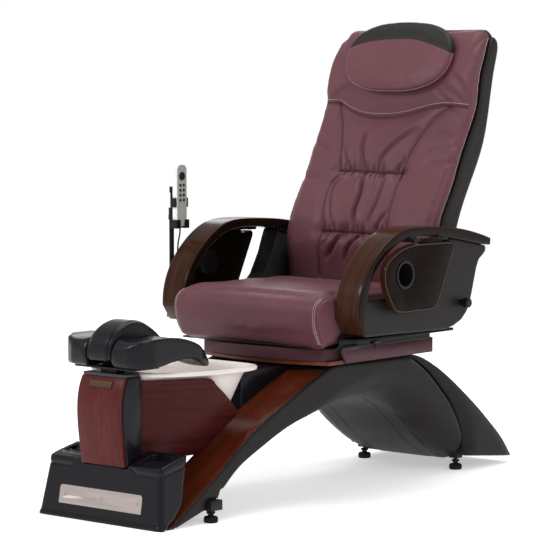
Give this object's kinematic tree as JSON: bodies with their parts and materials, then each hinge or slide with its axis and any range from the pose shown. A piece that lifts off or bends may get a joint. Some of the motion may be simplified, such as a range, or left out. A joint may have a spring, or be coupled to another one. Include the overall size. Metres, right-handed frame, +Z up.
{
  "type": "pedicure spa massage chair",
  "caption": "Reclining massage chair with flip-up side trays on an arched base, with a foot bowl between two ramps and a padded footrest on a front pillar.",
  "frame": {"origin": "on the floor, under the middle of the whole chair", "axes": "+Z up; +Y towards the back of the chair, so the sitter faces -Y; +X towards the sitter's left arm"},
  "size_m": [0.8138, 1.641, 1.3822],
  "materials": {
    "vinyl": "satin",
    "vinyl_dark": "satin",
    "shell_dark": "satin",
    "walnut": "gloss",
    "cherry": "gloss",
    "bowl_cream": "gloss",
    "stainless": "satin",
    "chrome": "polished",
    "steel_black": "satin",
    "rubber_black": "matte",
    "plastic_black": "satin",
    "plastic_white": "satin",
    "button_grey": "matte",
    "plywood": "satin"
  },
  "bodies": {
    "base": {"kick_base": "shell_dark", "kick_plate": "stainless", "kick_plate_screws": "stainless", "pillar_panel": "cherry", "pillar_body": "shell_dark", "pillar_cap": "plastic_black", "name_plate": "stainless", "foot_bowl": "bowl_cream", "bowl_drain": "chrome", "bowl_panel_left": "cherry", "bowl_panel_right": "cherry", "ramp_board_left": "cherry", "ramp_board_right": "cherry", "side_shell_left": "shell_dark", "side_shell_right": "shell_dark", "rear_cover": "shell_dark", "arch_liner": "shell_dark", "base_frame": "steel_black", "pedestal_housing": "shell_dark", "platform_board": "plywood", "platform_apron": "vinyl", "platform_skirt_left": "vinyl", "platform_skirt_right": "vinyl", "slide_rails": "steel_black", "power_inlet": "plastic_black"},
    "footrest": {"footrest_post": "steel_black", "footrest_saddle": "vinyl_dark", "footrest_pad_left": "vinyl_dark", "footrest_pad_right": "vinyl_dark"},
    "foot_front_left": {"levelling_foot_front_left": "rubber_black"},
    "foot_front_right": {"levelling_foot_front_right": "rubber_black"},
    "foot_rear_left": {"levelling_foot_rear_left": "rubber_black"},
    "foot_rear_right": {"levelling_foot_rear_right": "rubber_black"},
    "seat": {"seat_frame": "steel_black", "seat_cushion": "vinyl", "arm_left": "walnut", "arm_right": "walnut", "side_panel_left": "vinyl_dark", "side_panel_right": "vinyl_dark", "actuator_body": "plastic_black", "tray_hinges": "steel_black", "handset_mast": "steel_black"},
    "lever": {"slide_lever": "steel_black"},
    "knob_left": {"pivot_knob_left": "plastic_black"},
    "knob_right": {"pivot_knob_right": "plastic_black"},
    "folding_tray_left": {"tray_left": "walnut", "cup_holder_left": "plastic_black"},
    "folding_tray_right": {"tray_right": "walnut", "cup_holder_right": "plastic_black"},
    "back": {"back_frame": "steel_black", "back_shell": "vinyl_dark", "back_cushion": "vinyl"},
    "pillow": {"head_pillow": "vinyl"},
    "carriage": {"massage_carriage": "steel_black"},
    "rollers": {"massage_rollers": "rubber_black"},
    "rod": {"actuator_rod": "chrome"},
    "handset_arm": {"handset_cradle": "plastic_black"},
    "remote": {"handset": "plastic_white", "handset_cord": "rubber_black"},
    "buttons": {"handset_buttons": "button_grey"}
  },
  "joints": [
    {"name": "seat_slide", "type": "slide", "parent": "base", "child": "seat", "axis": [0, 1, 0], "range_m": [-0.06, 0.04]},
    {"name": "backrest_recline", "type": "hinge", "parent": "seat", "child": "back", "pos_m": [0, 0.356, 0.548], "axis": [1, 0, 0], "range_deg": [-32, 6]},
    {"name": "actuator_extend", "type": "slide", "parent": "seat", "child": "rod", "axis": [0, 1, 0], "range_m": [-0.0725, 0.014]},
    {"name": "massage_travel", "type": "slide", "parent": "back", "child": "carriage", "axis": [0, 0.454, 0.891], "range_m": [0, 0.18]},
    {"name": "massage_roller_spin", "type": "hinge", "parent": "carriage", "child": "rollers", "pos_m": [0, 0.41083, 0.8018], "axis": [1, 0, 0], "continuous": true},
    {"name": "pillow_slide", "type": "slide", "parent": "back", "child": "pillow", "axis": [0, 0.423, 0.9061], "range_m": [0, 0.06]},
    {"name": "tray_flip_left", "type": "hinge", "parent": "seat", "child": "folding_tray_left", "pos_m": [0.39, 0.167, 0.746], "axis": [0, -1, 0], "range_deg": [0, 90]},
    {"name": "tray_flip_right", "type": "hinge", "parent": "seat", "child": "folding_tray_right", "pos_m": [-0.39, 0.167, 0.746], "axis": [0, 1, 0], "range_deg": [0, 90]},
    {"name": "pivot_knob_turn_left", "type": "hinge", "parent": "seat", "child": "knob_left", "pos_m": [0.38, 0.356, 0.548], "axis": [1, 0, 0], "range_deg": [-90, 90]},
    {"name": "pivot_knob_turn_right", "type": "hinge", "parent": "seat", "child": "knob_right", "pos_m": [-0.38, 0.356, 0.548], "axis": [1, 0, 0], "range_deg": [-90, 90]},
    {"name": "slide_lever_pull", "type": "hinge", "parent": "seat", "child": "lever", "pos_m": [0.345, -0.03, 0.458], "axis": [0, 0, 1], "range_deg": [0, 25], "stiffness_Nm_per_rad": 2},
    {"name": "footrest_lift", "type": "slide", "parent": "base", "child": "footrest", "axis": [0, 0, 1], "range_m": [0, 0.06]},
    {"name": "handset_swivel", "type": "hinge", "parent": "seat", "child": "handset_arm", "pos_m": [-0.4, -0.087, 0.84], "axis": [0, 0, 1], "range_deg": [-25, 45]},
    {"name": "handset_lift", "type": "slide", "parent": "handset_arm", "child": "remote", "axis": [0, 0, 1], "range_m": [0, 0.04]},
    {"name": "handset_button_press", "type": "slide", "parent": "remote", "child": "buttons", "axis": [-1, 0, 0], "range_m": [0, 0.0012], "stiffness_N_per_m": 400},
    {"name": "levelling_foot_turn_front_left", "type": "hinge", "parent": "base", "child": "foot_front_left", "pos_m": [0.231, -0.613, 0.03], "axis": [0, 0, 1], "continuous": true},
    {"name": "levelling_foot_turn_front_right", "type": "hinge", "parent": "base", "child": "foot_front_right", "pos_m": [-0.231, -0.613, 0.03], "axis": [0, 0, 1], "continuous": true},
    {"name": "levelling_foot_turn_rear_left", "type": "hinge", "parent": "base", "child": "foot_rear_left", "pos_m": [0.181, 0.581, 0.03], "axis": [0, 0, 1], "continuous": true},
    {"name": "levelling_foot_turn_rear_right", "type": "hinge", "parent": "base", "child": "foot_rear_right", "pos_m": [-0.181, 0.581, 0.03], "axis": [0, 0, 1], "continuous": true}
  ],
  "couplings": [
    {"joint": "actuator_extend", "follows": "backrest_recline", "m_per_rad": 0.128}
  ]
}
